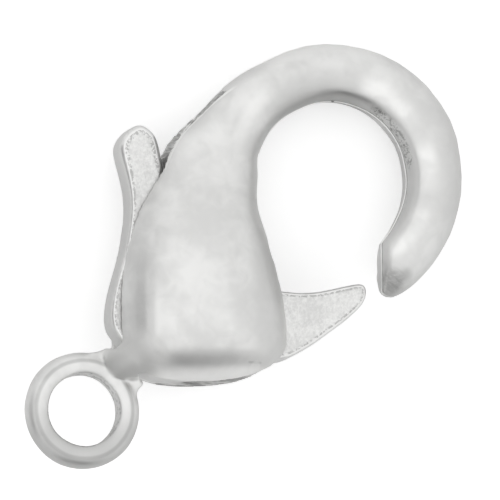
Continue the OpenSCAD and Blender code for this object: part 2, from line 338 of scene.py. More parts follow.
def select_parts(piece, kind, test):
    """Select the piece's vertices, edges or faces for which the test holds, and leave it in edit mode."""
    only(piece)
    bpy.ops.object.mode_set(mode="EDIT")
    bpy.ops.mesh.select_mode(type=kind)
    bpy.ops.mesh.select_all(action="DESELECT")
    mesh = bmesh.from_edit_mesh(piece.data)
    for part in {"VERT": mesh.verts, "EDGE": mesh.edges, "FACE": mesh.faces}[kind]:
        part.select_set(bool(test(part)))
    mesh.select_flush_mode()
    bmesh.update_edit_mesh(piece.data)


def select_points(piece, test):
    """Select the piece's points for which the test on their upright place holds."""
    select_parts(piece, "VERT", lambda vertex: test(upright(vertex.co)))


def duplicate(piece, name):
    """A copy of the piece with a mesh of its own, under this name."""
    only(piece)
    bpy.ops.object.duplicate()
    copy = bpy.context.active_object
    copy.name = copy.data.name = name
    return copy


def enlarged_copy(node, name):
    """A copy of a CAD node's mesh at a millimetre to the unit, with its loose triangles joined up."""
    copy = duplicate(frame["nodes"][node], name)
    copy.parent = None
    for key in list(copy.keys()):
        del copy[key]
    copy.scale = (MM, MM, MM)
    settle(copy)
    edit_all(copy)
    bpy.ops.mesh.remove_doubles(threshold=SAME_POINT)
    stop_editing()
    return copy


def finish_piece(piece, body, slot, replaced, *materials):
    """Bring a finished piece to metres, smooth its shading, dress it and hang it on its body."""
    piece.scale = (1 / MM, 1 / MM, 1 / MM)
    settle(piece)
    bpy.ops.object.shade_smooth()
    piece.data.materials.clear()
    for material in materials:
        piece.data.materials.append(material)
    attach(piece, body)
    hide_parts(replaced)


def sharp_edges(piece, angle):
    """A wire of the piece's edges that bend by more than the angle."""
    wire = duplicate(piece, "edge_guide")
    bpy.ops.object.mode_set(mode="EDIT")
    bpy.ops.mesh.select_mode(type="EDGE")
    bpy.ops.mesh.select_all(action="DESELECT")
    bpy.ops.mesh.edges_select_sharp(sharpness=angle)
    bpy.ops.mesh.select_all(action="INVERT")
    bpy.ops.mesh.delete(type="EDGE_FACE")
    stop_editing()
    return wire


def soften(piece, guide, near, far, rounds):
    """Smooth the piece away from the guide's edges, and give back the bulk that smoothing takes.

    What a second smoothing would take again is added to the first, so thin parts keep their girth.
    """
    group = "between_edges"
    piece.vertex_groups.new(name=group).add(range(len(piece.data.vertices)), 1.0, "REPLACE")
    apply_modifier(
        piece, "VERTEX_WEIGHT_PROXIMITY", vertex_group=group, target=guide,
        proximity_mode="GEOMETRY", proximity_geometry={"EDGE"}, min_dist=near, max_dist=far)
    smooth(piece, rounds, vertex_group=group)
    twice = duplicate(piece, "smoothed_twice")
    smooth(twice, rounds, vertex_group=group)
    only(piece)
    twice.select_set(True)
    bpy.ops.object.join_shapes()
    only(piece)
    piece.active_shape_key_index = len(piece.data.shape_keys.key_blocks) - 1
    piece.active_shape_key.slider_min = -1.0
    piece.active_shape_key.value = -1.0
    bpy.ops.object.shape_key_remove(all=True, apply_mix=True)
    piece.vertex_groups.clear()
    bpy.data.objects.remove(twice)


def rub_down(piece, test, rounds):
    """Smooth only the piece's points for which the test on their upright place holds."""
    select_points(piece, test)
    group = piece.vertex_groups.new(name="rubbed")
    piece.vertex_groups.active_index = group.index
    bpy.ops.object.vertex_group_assign()
    stop_editing()
    smooth(piece, rounds, vertex_group=group.name)
    piece.vertex_groups.clear()


def drop_points(piece, test):
    """Take away the piece's points for which the test on their upright place holds."""
    select_points(piece, test)
    bpy.ops.mesh.delete(type="VERT")
    stop_editing()


def section_wire(piece, name, out, test):
    """The piece's outline so far out from the middle plane as a wire, where the test on its place holds."""
    wire = duplicate(piece, name)
    edit_all(wire)
    bpy.ops.mesh.bisect(plane_co=PIVOT + ACROSS * out, plane_no=ACROSS, clear_inner=True, clear_outer=True)
    stop_editing()
    drop_points(wire, lambda place: not test(place))
    return wire


def wire_to_bead(wire, radius):
    """A round bead of this radius along a wire, with closed ends."""
    only(wire)
    bpy.ops.object.convert(target="CURVE")
    bead = bpy.context.active_object
    bead.data.bevel_depth = radius
    bead.data.bevel_resolution = 2
    bead.data.use_fill_caps = True
    bpy.ops.object.convert(target="MESH")
    edit_all(bead)
    bpy.ops.mesh.remove_doubles(threshold=SAME_POINT)
    bpy.ops.mesh.normals_make_consistent(inside=False)
    stop_editing()
    return bead


def fuse(piece, addition):
    """Unite a closed piece with a closed addition, which is used up."""
    apply_modifier(piece, "BOOLEAN", operation="UNION", object=addition, solver="MANIFOLD")
    bpy.data.objects.remove(addition)


def thin_out(piece, triangles):
    """Thin the piece's mesh to so many triangles, if it has more."""
    count = sum(len(face.vertices) - 2 for face in piece.data.polygons)
    if count > triangles:
        apply_modifier(piece, "DECIMATE", decimate_type="COLLAPSE", ratio=triangles / count)


def tone_of(colour, times):
    """The colour made lighter or darker by a factor, and opaque."""
    return (*(part * times for part in colour), 1.0)


class Nodes:
    """A short hand for placing and linking shader nodes."""

    def __init__(self, tree):
        self.tree = tree

    def add(self, kind, **inputs):
        """A new node of this kind, with its settings and with values or links for its sockets."""
        node = self.tree.nodes.new("ShaderNode" + kind)
        for name, value in inputs.items():
            if name in node.bl_rna.properties:
                setattr(node, name, value)
            else:
                self.feed(node, name, value)
        return node

    def feed(self, node, socket, value):
        """Link another node's output to a socket, or set the socket's own value."""
        target = node.inputs[socket] if isinstance(socket, int) else node.inputs[socket.replace("_", " ")]
        if isinstance(value, bpy.types.NodeSocket):
            self.tree.links.new(value, target)
        else:
            target.default_value = value

    def math(self, operation, *values):
        node = self.add("Math", operation=operation)
        for index, value in enumerate(values):
            self.feed(node, index, value)
        return node.outputs[0]

    def dot(self, first, second):
        """The dot product of a vector's socket with a fixed vector."""
        node = self.add("VectorMath", operation="DOT_PRODUCT")
        self.feed(node, 0, first)
        self.feed(node, 1, tuple(second))
        return node.outputs["Value"]

    def gather(self, operation, values):
        """All the values worked into one by the same operation, in their order."""
        result = values[0]
        for value in values[1:]:
            result = self.math(operation, result, value)
        return result

    def both(self, *masks):
        return self.gather("MULTIPLY", masks)

    def either(self, *masks):
        return self.gather("MAXIMUM", masks)

    def total(self, *parts):
        """The sum of the parts, each a value with its weight."""
        return self.gather("ADD", [self.math("MULTIPLY", value, weight) for value, weight in parts])

    def ramp(self, value, start, end, at_start, at_end):
        """One number up to the start, another from the end on, and a smooth change between them."""
        node = self.add("MapRange", interpolation_type="SMOOTHSTEP")
        for index, number in enumerate((value, start, end, at_start, at_end)):
            self.feed(node, index, number)
        return node.outputs[0]

    def rises(self, value, start, end):
        """0 up to the start, 1 from the end on, and smooth between them."""
        return self.ramp(value, start, end, 0.0, 1.0)

    def falls(self, value, start, end):
        """1 up to the start, 0 from the end on, and smooth between them."""
        return self.ramp(value, start, end, 1.0, 0.0)

    def noise(self, where, scale, detail=2.0, roughness=0.5, distortion=0.0):
        """Soft random patches from 0 to 1, so many of them to the unit of the place."""
        node = self.add(
            "TexNoise", Vector=where, Scale=scale, Detail=detail, Roughness=roughness, Distortion=distortion)
        return node.outputs["Fac"]

    def stretched(self, where, turn, scale):
        """The place turned first and then scaled, so that the scale works along the turned directions."""
        turned = self.add("Mapping", Vector=where, Rotation=turn)
        node = self.add("Mapping", Vector=turned.outputs[0], Scale=scale)
        return node.outputs[0]

    def mix(self, share, first, second):
        """The first colour, changed into the second by this share."""
        node = self.add("Mix", data_type="RGBA")
        for index, value in ((0, share), (6, first), (7, second)):
            self.feed(node, index, value)
        return node.outputs[2]

    def between_tones(self, share, colour, dark, light):
        """A darker tone of the colour, changed into a lighter one by this share."""
        return self.mix(share, tone_of(colour, dark), tone_of(colour, light))

    def tinted(self, colour, base, tints):
        """Tones of a base colour laid over the colour, each tint with its mask, its share and its tone."""
        for mask, share, tone in tints:
            colour = self.mix(self.math("MULTIPLY", mask, share), colour, tone_of(base, tone))
        return colour

    def emboss(self, shader, height, strength, depth):
        """Shade the surface by a height, in which 1 stands for the depth in metres."""
        bump = self.add("Bump", Strength=strength, Distance=depth, Height=height)
        self.feed(shader, "Normal", bump.outputs[0])


def group_tree(name, inputs, outputs):
    """An empty shader node group, its inputs with their starting values and its outputs all plain values."""
    tree = bpy.data.node_groups.new(name, "ShaderNodeTree")
    for socket, value in inputs.items():
        kind = "NodeSocketVector" if isinstance(value, tuple) else "NodeSocketFloat"
        tree.interface.new_socket(socket, in_out="INPUT", socket_type=kind).default_value = value
    for socket in outputs:
        tree.interface.new_socket(socket, in_out="OUTPUT", socket_type="NodeSocketFloat")
    return tree, Nodes(tree), tree.nodes.new("NodeGroupInput"), tree.nodes.new("NodeGroupOutput")


def clasp_place_group(name):
    """A place on the clasp in millimetres: right of the pivot, above it, and out from the middle plane."""
    tree, nodes, given, made = group_tree(name, {"Vector": (0, 0, 0)}, ("Right", "Up", "Out"))
    arm = nodes.add("VectorMath", operation="SUBTRACT")
    nodes.feed(arm, 0, given.outputs["Vector"])
    nodes.feed(arm, 1, tuple(PIVOT / MM))
    for socket, way in (("Right", RIGHT), ("Up", UP), ("Out", ACROSS)):
        nodes.feed(made, socket, nodes.dot(arm.outputs[0], way * MM))
    return tree


def around_group(name):
    """Distance and angle in degrees about a centre on the middle plane."""
    inputs = dict.fromkeys(("Right", "Up", "Centre Right", "Centre Up"), 0.0)
    tree, nodes, given, made = group_tree(name, inputs, ("Distance", "Angle"))
    across = nodes.math("SUBTRACT", given.outputs["Right"], given.outputs["Centre Right"])
    rise = nodes.math("SUBTRACT", given.outputs["Up"], given.outputs["Centre Up"])
    squares = nodes.math("ADD", nodes.both(across, across), nodes.both(rise, rise))
    nodes.feed(made, "Distance", nodes.math("SQRT", squares))
    nodes.feed(made, "Angle", nodes.math("DEGREES", nodes.math("ARCTAN2", rise, across)))
    return tree


def band_group(name):
    """1 where a value is near the centre, falling softly to 0 at half the width and the softness beyond."""
    inputs = {"Value": 0.0, "Centre": 0.0, "Half": 0.1, "Softness": 0.05}
    tree, nodes, given, made = group_tree(name, inputs, ("Mask",))
    away = nodes.math("ABSOLUTE", nodes.math("SUBTRACT", given.outputs["Value"], given.outputs["Centre"]))
    end = nodes.math("ADD", given.outputs["Half"], given.outputs["Softness"])
    nodes.feed(made, "Mask", nodes.falls(away, given.outputs["Half"], end))
    return tree


def fine_scratches_group(name):
    """Hair scratches in two crossing directions, as a height."""
    tree, nodes, given, made = group_tree(name, {"Vector": (0, 0, 0), "Density": 1.0}, ("Height",))
    heights = []
    for turn in (0.5, 1.9):
        where = nodes.stretched(given.outputs["Vector"], (0, 0, turn), SCRATCH_REPEATS)
        heights.append(nodes.rises(nodes.noise(where, 1.0, detail=1.0, roughness=0.4), 0.62, 0.72))
    nodes.feed(made, "Height", nodes.both(nodes.either(*heights), given.outputs["Density"]))
    return tree


def file_marks_group(name):
    """Uneven file strokes across a surface, as a height from 0 to 1."""
    tree, nodes, given, made = group_tree(name, {"Vector": (0, 0, 0), "Turn": (0, 0, 0.8)}, ("Height",))
    long_way = nodes.stretched(given.outputs["Vector"], given.outputs["Turn"], FILE_REPEATS)
    strokes = nodes.noise(long_way, 1.0, detail=3.0, roughness=0.6)
    nodes.feed(made, "Height", nodes.rises(strokes, 0.35, 0.65))
    return tree


class ClaspNodes(Nodes):
    """Shader nodes of one material, with the clasp's own places and masks at hand."""

    def __init__(self, tree):
        super().__init__(tree)
        coordinates = self.add("TexCoord")
        self.where = coordinates.outputs["Object"]
        self.normal = coordinates.outputs["Normal"]
        place = self.group(clasp_place_group, "Clasp place", Vector=self.where)
        self.right, self.up, self.out = (place.outputs[name] for name in ("Right", "Up", "Out"))

    def group(self, make, name, **inputs):
        """A node of the shared group of this name, which is made the first time that it is asked for."""
        node = self.tree.nodes.new("ShaderNodeGroup")
        node.node_tree = bpy.data.node_groups.get(name) or make(name)
        for socket, value in inputs.items():
            self.feed(node, socket, value)
        return node

    def around(self, centre):
        """Distance in millimetres and angle in degrees about a centre on the middle plane."""
        node = self.group(
            around_group, "Around", Right=self.right, Up=self.up, Centre_Right=centre.x, Centre_Up=centre.y)
        return node.outputs["Distance"], node.outputs["Angle"]

    def near(self, centre, full, gone):
        """1 within so many millimetres of a centre on the middle plane, and 0 from the larger distance on."""
        return self.falls(self.around(centre)[0], full, gone)

    def band(self, value, centre, half, softness):
        """1 where the value is within half the band's width of its centre, fading over the softness."""
        node = self.group(band_group, "Soft band", Value=value, Centre=centre, Half=half, Softness=softness)
        return node.outputs[0]

    def facing(self, way):
        """How far the surface faces this way, from -1 to 1."""
        return self.dot(self.normal, way)

    def facing_centre(self, centre, distance):
        """How far the surface faces this centre on the middle plane, from -1 to 1."""
        parts = []
        for value, middle, way in ((self.right, centre.x, RIGHT), (self.up, centre.y, UP)):
            parts.append(self.both(self.math("SUBTRACT", middle, value), self.facing(way)))
        return self.math("DIVIDE", self.math("ADD", *parts), distance)

    def fine_scratches(self, density):
        node = self.group(fine_scratches_group, "Fine scratches", Vector=self.where, Density=density)
        return node.outputs[0]

    def file_marks(self, turn):
        node = self.group(file_marks_group, "File marks", Vector=self.where, Turn=turn)
        return node.outputs[0]


def new_material(name):
    """A fresh material and its shader."""
    material = bpy.data.materials.new(name)
    material.use_nodes = True
    return material, material.node_tree.nodes["Principled BSDF"]


def new_metal(name):
    """A fresh metal material, its nodes and its shader."""
    material, shader = new_material(name)
    shader.inputs["Metallic"].default_value = 1.0
    return material, ClaspNodes(material.node_tree), shader


def seam_marks_and_shading(nodes):
    """Painted highlight on the seam's bead on hook and seat, painted shade beside it and on the hook's inner band,
    and its flash.
    """
    distance, angle = nodes.around(HOOK_AT)
    inward = nodes.facing_centre(HOOK_AT, distance)
    inside = nodes.both(
        nodes.rises(inward, 0.25, 0.45), nodes.falls(distance, 2.4, 2.6), nodes.rises(nodes.right, 2.2, 2.5))
    on_seat = nodes.both(nodes.rises(nodes.facing(-RIGHT), 0.5, 0.7), nodes.rises(nodes.right, 4.6, 4.7))
    by_seam = nodes.either(inside, on_seat)
    specks = nodes.noise(nodes.where, 8500, detail=3.0, roughness=0.75, distortion=1.2)
    return {
        "on_seat": on_seat,
        # Painted highlight where the seam's bead catches the light
        "seam_bead_highlight": nodes.both(by_seam, nodes.band(nodes.out, SEAM_OUT, half=0.024, softness=0.012)),
        # Painted shade in a thin dark line beside the seam's bead
        "beside_seam_shade": nodes.both(
            by_seam, nodes.band(nodes.out, SEAM_OUT + 0.055, half=0.012, softness=0.02)),
        # Painted shade on the flat band inside the hook, where it faces the opening
        "inner_band_shade": nodes.both(nodes.rises(inward, 0.35, 0.9), inside, nodes.rises(nodes.out, 0.08, 0.14)),
        # Painted shade in a soft line where the inner band turns into the hook's side
        "band_end_shade": nodes.both(
            inside, nodes.band(inward, 0.6, half=0.05, softness=0.2), nodes.rises(nodes.out, 0.1, 0.25)),
        "flash": nodes.both(
            inside, nodes.band(angle, 32.0, half=22.0, softness=8.0),
            nodes.band(nodes.out, 0.34, half=0.12, softness=0.10), nodes.rises(specks, 0.51, 0.57)),
    }


def hook_painted_light(nodes):
    """Painted light, shade and patchy gleams on the hook, and a painted highlight on the groove's rim at its
    shoulder.
    """
    distance, angle = nodes.around(HOOK_AT)
    patches = nodes.rises(nodes.noise(nodes.where, 1900, roughness=0.45, distortion=0.3), 0.32, 0.68)
    gleaming = nodes.either(*(nodes.band(angle, middle, half, softness=14.0) for middle, half in GLEAMS))
    rim_out = nodes.ramp(angle, 148, 162, SLOT_HALF + 0.035, SLOT_HALF + 0.06)
    return {
        "crown_shade": nodes.both(
            nodes.falls(distance, 1.75, 2.65), nodes.band(angle, 100.0, half=18.0, softness=32.0)),
        "crown_light": nodes.both(
            nodes.rises(distance, 2.58, 2.78), nodes.band(angle, 95.0, half=18.0, softness=20.0)),
        # Painted shade on the hook's right side
        "hook_side_shade": nodes.band(angle, 5.0, half=20.0, softness=22.0),
        "gleam": nodes.both(
            nodes.band(distance, 2.1, half=0.06, softness=0.26), nodes.ramp(patches, 0.0, 1.0, 0.35, 1.0),
            gleaming),
        "shoulder_gleam": nodes.both(
            nodes.band(distance, 2.32, half=0.05, softness=0.2),
            nodes.band(angle, 149.0, half=12.0, softness=12.0)),
        # Painted highlight along the rim of the groove at the shoulder
        "groove_rim_highlight": nodes.both(
            nodes.band(nodes.out, rim_out, half=0.018, softness=0.015), nodes.rises(distance, 2.55, 2.65),
            nodes.rises(angle, 138, 143)),
    }


def hook_end_marks(nodes):
    """The filed patch on the near side of the hook's end, its crossing strokes and the shade about it."""
    near_side = nodes.rises(nodes.out, 0.0, 0.1)
    filed = nodes.both(nodes.near(FILED_AT, 0.14, 0.36), near_side)
    down_strokes = nodes.file_marks((0, 0, -0.17))
    up_strokes = nodes.file_marks((0, 0, -1.08))
    return {
        "filed": filed,
        "end_shade": nodes.both(nodes.near(FILED_AT, 0.20, 0.75), near_side),
        "end_spot": nodes.both(nodes.near(SPOT_AT, 0.02, 0.22), near_side),
        "hatching": nodes.both(filed, nodes.either(down_strokes, nodes.both(up_strokes, 0.7))),
    }


def body_marks_and_shading(nodes):
    """Painted shade on the near cheek's side and foot, a painted highlight on the foot's lip, a nick with its
    line, a speck.
    """
    near_cheek = nodes.rises(nodes.out, 0.5, 0.6)
    outer_cheek = nodes.rises(nodes.out, 0.6, 0.7)
    return {
        # Painted shade in a band down the near cheek's right side
        "body_side_shade": nodes.both(
            nodes.band(nodes.right, 2.15, half=0.25, softness=0.35), nodes.falls(nodes.up, 1.6, 2.4),
            nodes.rises(nodes.out, 0.3, 0.5)),
        "foot_shade": nodes.both(
            nodes.band(nodes.up, -0.62, half=0.1, softness=0.15),
            nodes.band(nodes.right, 0.9, half=0.8, softness=0.4), near_cheek),
        # Painted highlight on the foot's lip, where it faces down
        "foot_lip_highlight": nodes.both(
            nodes.rises(nodes.facing(-UP), 0.6, 0.85), nodes.falls(nodes.up, -0.9, -0.7),
            nodes.rises(nodes.right, -0.5, -0.1), near_cheek),
        "nick": nodes.both(nodes.near(NICK_AT, 0.10, 0.16), outer_cheek),
        "nick_line": nodes.both(
            nodes.band(nodes.up, -0.70, half=0.01, softness=0.025),
            nodes.band(nodes.right, 1.80, half=0.13, softness=0.06), outer_cheek),
        "speck": nodes.near(SPECK_AT, 0.03, 0.05),
    }


def ring_marks_and_shading(nodes, stains):
    """Painted shade on the ring's lower side and uneven line, its ragged hole, and painted shade in the neck's
    matt hollow.
    """
    distance = nodes.around(EYE_AT)[0]
    uneven_distance = nodes.math("ADD", distance, nodes.math("MULTIPLY", stains, 0.06))
    ragged = nodes.rises(nodes.noise(nodes.where, 7000, detail=3.0, roughness=0.7), 0.5, 0.6)
    neck_side = nodes.rises(nodes.out, 0.3, 0.42)
    return {
        # Painted shade on the ring's lower side
        "ring_low_shade": nodes.both(
            nodes.falls(distance, 1.45, 1.5), nodes.falls(nodes.up, EYE_AT.y - 0.7, EYE_AT.y + 0.2)),
        # Painted shade in an uneven dark line round the ring, between its face and its outer side
        "ring_line_shade": nodes.both(
            nodes.band(uneven_distance, 1.12, half=0.012, softness=0.055),
            nodes.band(nodes.out, 0.22, half=0.07, softness=0.05)),
        "hole_wall": nodes.both(nodes.falls(distance, HOLE_R + 0.015, HOLE_R + 0.05), ragged),
        "neck_shade": nodes.both(nodes.near(NECK_AT, 0.25, 0.75), neck_side),
        "neck_matt": nodes.both(nodes.near(NECK_AT, 0.35, 1.0), neck_side),
    }


def polished_casting(settings):
    """Satin plating over a cast surface: soft blotches, fine pits and scratches, the casting's marks, and painted
    light and shade.
    """
    material, nodes, shader = new_metal("polished_casting")
    clouds = nodes.noise(nodes.where, 900, detail=3.0, roughness=0.55)
    blotches = nodes.noise(nodes.where, 2600, distortion=0.6)
    stains = nodes.total((clouds, 0.65), (blotches, 0.35))
    pits = nodes.rises(nodes.noise(nodes.where, 9000, roughness=0.6), 0.66, 0.78)
    # The masks of the casting's real marks together with those of its painted highlights and painted shade
    marks = {
        **seam_marks_and_shading(nodes), **hook_painted_light(nodes), **hook_end_marks(nodes), **body_marks_and_shading(nodes),
        **ring_marks_and_shading(nodes, stains)}
    plating = nodes.between_tones(nodes.rises(stains, 0.35, 0.65), settings.colour, 0.93, 1.06)
    tints = [(marks[name], share, tone) for name, share, tone in CASTING_TINTS]
    nodes.feed(shader, "Base Color", nodes.tinted(plating, settings.colour, tints))
    nodes.feed(shader, "Metallic", nodes.ramp(marks["on_seat"], 0.0, 1.0, 1.0, 0.3))
    satin = nodes.ramp(stains, 0.3, 0.75, settings.roughness + 0.06, settings.roughness - 0.06)
    rough = nodes.either(marks["flash"], marks["filed"], marks["hole_wall"])
    rougher = nodes.total((rough, 0.15), (marks["neck_matt"], 0.25))
    nodes.feed(shader, "Roughness", nodes.math("ADD", satin, rougher))
    height = nodes.total(
        (pits, -0.5), (nodes.fine_scratches(0.35), -0.3), (marks["hatching"], -2.0), (marks["flash"], -1.2))
    nodes.emboss(shader, height, strength=0.5, depth=0.000006)
    return material


def slot_wall(settings):
    """The slot's walls and the groove's floor: duller metal with coarse tool marks, darkened partly as painted
    shade.
    """
    material, nodes, shader = new_metal("slot_wall")
    tool_marks = nodes.file_marks((0.3, 0.2, 2.4))
    # The tool marks' tones run dark, partly as painted shade in the slot's recess
    nodes.feed(shader, "Base Color", nodes.between_tones(tool_marks, settings.colour, 0.42, 0.85))
    nodes.feed(shader, "Roughness", 0.5)
    nodes.emboss(shader, tool_marks, strength=0.8, depth=0.00001)
    return material


def frosted_lever(settings):
    """Frosted flat faces with fine strokes, a polished rim with a painted highlight and a speckled line inside it,
    and satin edges with painted shade.
    """
    material, nodes, shader = new_metal("frosted_lever")
    straight = nodes.math("ABSOLUTE", nodes.facing(ACROSS))
    flat = nodes.rises(straight, 0.95, 0.99)
    # Painted highlight on the band where the rim turns from the flat face
    rim = nodes.band(straight, 0.84, half=0.06, softness=0.06)
    # Painted shade on the sides that turn away from the flat faces
    side = nodes.falls(straight, 0.3, 0.6)
    brushed = nodes.stretched(nodes.where, (0, 0, 0.6), BRUSH_REPEATS)
    strokes = nodes.rises(nodes.noise(brushed, 1.0, detail=3.0, roughness=0.7, distortion=0.8), 0.45, 0.65)
    grain = nodes.noise(nodes.where, 11000, detail=3.0, roughness=0.65)
    patches = nodes.noise(nodes.where, 1600, detail=3.0, roughness=0.6)
    flecks = nodes.rises(nodes.noise(nodes.where, 17000, roughness=0.6), 0.44, 0.54)
    dots = nodes.both(nodes.band(straight, 0.965, half=0.02, softness=0.02), flecks)
    frost = nodes.rises(nodes.total((grain, 0.5), (patches, 0.5)), 0.38, 0.62)
    metal = nodes.between_tones(frost, settings.colour, 0.90, 1.05)
    tints = ((side, 0.8, 0.92), (nodes.both(strokes, flat), 0.2, 0.75), (rim, 0.6, 1.2), (dots, 0.6, 0.4))
    nodes.feed(shader, "Base Color", nodes.tinted(metal, settings.colour, tints))
    nodes.feed(shader, "Roughness", nodes.ramp(flat, 0.0, 1.0, 0.36, 0.5))
    height = nodes.total((grain, 0.5), (nodes.fine_scratches(0.6), 0.5), (strokes, 0.5))
    nodes.emboss(shader, nodes.both(height, flat), strength=0.6, depth=0.000008)
    return material


def plain_steel(name, colour, roughness, repeats):
    """Drawn or ground steel with fine lines."""
    material, nodes, shader = new_metal(name)
    lines = nodes.noise(nodes.stretched(nodes.where, (0, 0, 0), repeats), 1.0)
    nodes.feed(shader, "Base Color", nodes.between_tones(lines, colour, 0.85, 1.0))
    nodes.feed(shader, "Roughness", nodes.ramp(lines, 0.3, 0.7, roughness - 0.06, roughness + 0.06))
    nodes.emboss(shader, lines, strength=0.3, depth=0.000003)
    return material


def in_neck_crease(place):
    """The creases where ring, web, neck and cheeks melt into one another, but not the one round the nose."""
    from_eye = gap(place, EYE_AT)
    from_middle = abs(place.z)
    about_neck = 0.9 < from_eye < 1.95
    off_nose = from_eye > 1.4 or from_middle < 0.24
    off_slot = abs(from_middle - SLOT_HALF) > 0.02
    return about_neck and off_nose and off_slot


def on_band_corner(place):
    """The corners on both sides of the flat band inside the hook, but not those of the hook's end."""
    by_opening = 1.5 < gap(place, HOOK_AT) < 2.45
    beside_band = 0.2 < abs(place.z) < 0.9
    return by_opening and beside_band and place.x < 5.0


def on_neck_flank(place):
    """The neck's two flanks behind the nose, clear of the slot and of the ring."""
    return gap(place, NECK_AT) < 0.8 and abs(place.z) > 0.62 and gap(place, EYE_AT) > 1.45


def on_inner_edge(place):
    """The hook's inner edge from the shoulder round to the hook's end, and down the seat."""
    angle = bearing(place, HOOK_AT)
    on_seat = 4.0 < place.x < 5.2 and angle < -45
    return -75 < angle < 165 and (gap(place, HOOK_AT) < OPENING_R + 0.4 or on_seat)


def in_slot(face):
    """The slot's two walls, clear of neck and hook, and the floor of the groove along the spine."""
    place = upright(face.calc_center_median() * MM)
    facing = abs(face.normal.dot(ACROSS))
    clear_of_ends = gap(place, EYE_AT) > 1.9 and place.x < 3.2
    on_wall = facing > 0.8 and abs(abs(place.z) - SLOT_HALF) < 0.03 and clear_of_ends
    along_spine = 144 < bearing(place, HOOK_AT) % 360 < 200 and gap(place, HOOK_AT) > 1.9
    on_floor = facing < 0.6 and abs(place.z) < SLOT_HALF and along_spine
    return on_wall or on_floor


def polish_unevenly(casting, depth):
    """Leave the slight waves of polishing by hand."""
    waves = bpy.data.textures.new("polishing_waves", "CLOUDS")
    waves.noise_scale = WAVE_SIZE
    waves.noise_depth = 1
    apply_modifier(
        casting, "DISPLACE", texture=waves, texture_coords="LOCAL", strength=depth, mid_level=0.5)


def lay_seam(casting, radius):
    """Lay the thin bead that the mould's two halves leave along the hook's inner edge."""
    wire = section_wire(casting, "seam", SEAM_OUT, on_inner_edge)
    fuse(casting, wire_to_bead(wire, radius))


def set_sprue_stub(casting):
    """Set the small stub on the seam where the sprue was cut off."""
    bpy.ops.mesh.primitive_ico_sphere_add(
        subdivisions=3, radius=STUB_R, location=laid(STUB_AT.x, STUB_AT.y, STUB_OUT))
    stub = bpy.context.active_object
    stub.scale = STUB_STRETCH
    settle(stub)
    fuse(casting, stub)


def dress_slot(casting):
    """Give the slot's walls and the groove's floor their own rougher finish, darkened partly with painted shade.
    """
    select_parts(casting, "FACE", in_slot)
    casting.active_material_index = 1
    bpy.ops.object.material_slot_assign()
    stop_editing()


class CLASP_OT_casting(bpy.types.Operator):
    """Model the casting: cheeks, shoulder, hook, neck and ring eye"""

    bl_idname = "clasp.casting"
    bl_label = "Casting"

    def execute(self, context):
        settings = context.scene.clasp_casting
        casting = enlarged_copy("body", "casting")
        edges = sharp_edges(casting, SHARP_BEND)
        drop_points(edges, in_neck_crease)
        remesh(casting, settings.grain)
        soften(casting, edges, EDGE_NEAR, EDGE_FAR, settings.softness)
        bpy.data.objects.remove(edges)
        rub_down(casting, on_band_corner, BAND_TIMES * settings.softness)
        rub_down(casting, on_neck_flank, NECK_TIMES * settings.softness)
        smooth(casting, settings.edge_softness)
        polish_unevenly(casting, settings.waviness)
        thin_out(casting, settings.faces)
        lay_seam(casting, settings.seam)
        set_sprue_stub(casting)
        finish_piece(
            casting, "casting", "polished_casting", "body",
            polished_casting(settings), slot_wall(settings))
        dress_slot(casting)
        return {"FINISHED"}


class CLASP_OT_lever(bpy.types.Operator):
    """Model the lever: thumb tab, arm, heel and gate"""

    bl_idname = "clasp.lever"
    bl_label = "Lever"

    def execute(self, context):
        settings = context.scene.clasp_lever
        lever = enlarged_copy("lever", "trigger_lever")
        remesh(lever, settings.grain)
        smooth(lever, settings.edge_softness)
        thin_out(lever, settings.faces)
        finish_piece(lever, "trigger", "frosted_lever", "lever", frosted_lever(settings))
        return {"FINISHED"}


class CLASP_OT_spring(bpy.types.Operator):
    """Model the return spring as a round wire"""

    bl_idname = "clasp.spring"
    bl_label = "Return spring"

    def execute(self, context):
        spring = enlarged_copy("spring", "return_spring")
        apply_modifier(spring, "SUBSURF", levels=2, render_levels=2)
        drawn_wire = plain_steel("spring_steel", (0.60, 0.60, 0.62), roughness=0.28, repeats=WIRE_REPEATS)
        finish_piece(spring, "casting", "spring_steel", "spring", drawn_wire)
        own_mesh(spring)
        return {"FINISHED"}


class CLASP_OT_pin(bpy.types.Operator):
    """Model the pivot pin with its two broken edges"""

    bl_idname = "clasp.pin"
    bl_label = "Pivot pin"

    def execute(self, context):
        pin = enlarged_copy("pivot_pin", "hinge_pin")
        apply_modifier(
            pin, "BEVEL", width=PIN_EDGE, segments=3, limit_method="ANGLE", angle_limit=math.radians(50))
        ground_rod = plain_steel("pin_steel", (0.70, 0.70, 0.71), roughness=0.25, repeats=ROD_REPEATS)
        finish_piece(pin, "casting", "pin_steel", "pivot_pin", ground_rod)
        only(pin)
        bpy.ops.object.shade_smooth_by_angle(angle=math.radians(40))
        return {"FINISHED"}


def soft_box(place, target, size, brightness):
    """A square light of this brightness that faces the target and that the camera doesn't see."""
    bpy.ops.object.light_add(type="AREA", location=place)
    light = bpy.context.active_object
    light.name = "overhead"
    light.data.shape = "SQUARE"
    light.data.size = size
    light.data.energy = brightness * math.pi * size * size
    light.rotation_euler = (target - place).to_track_quat("-Z", "Y").to_euler()
    light.visible_camera = False


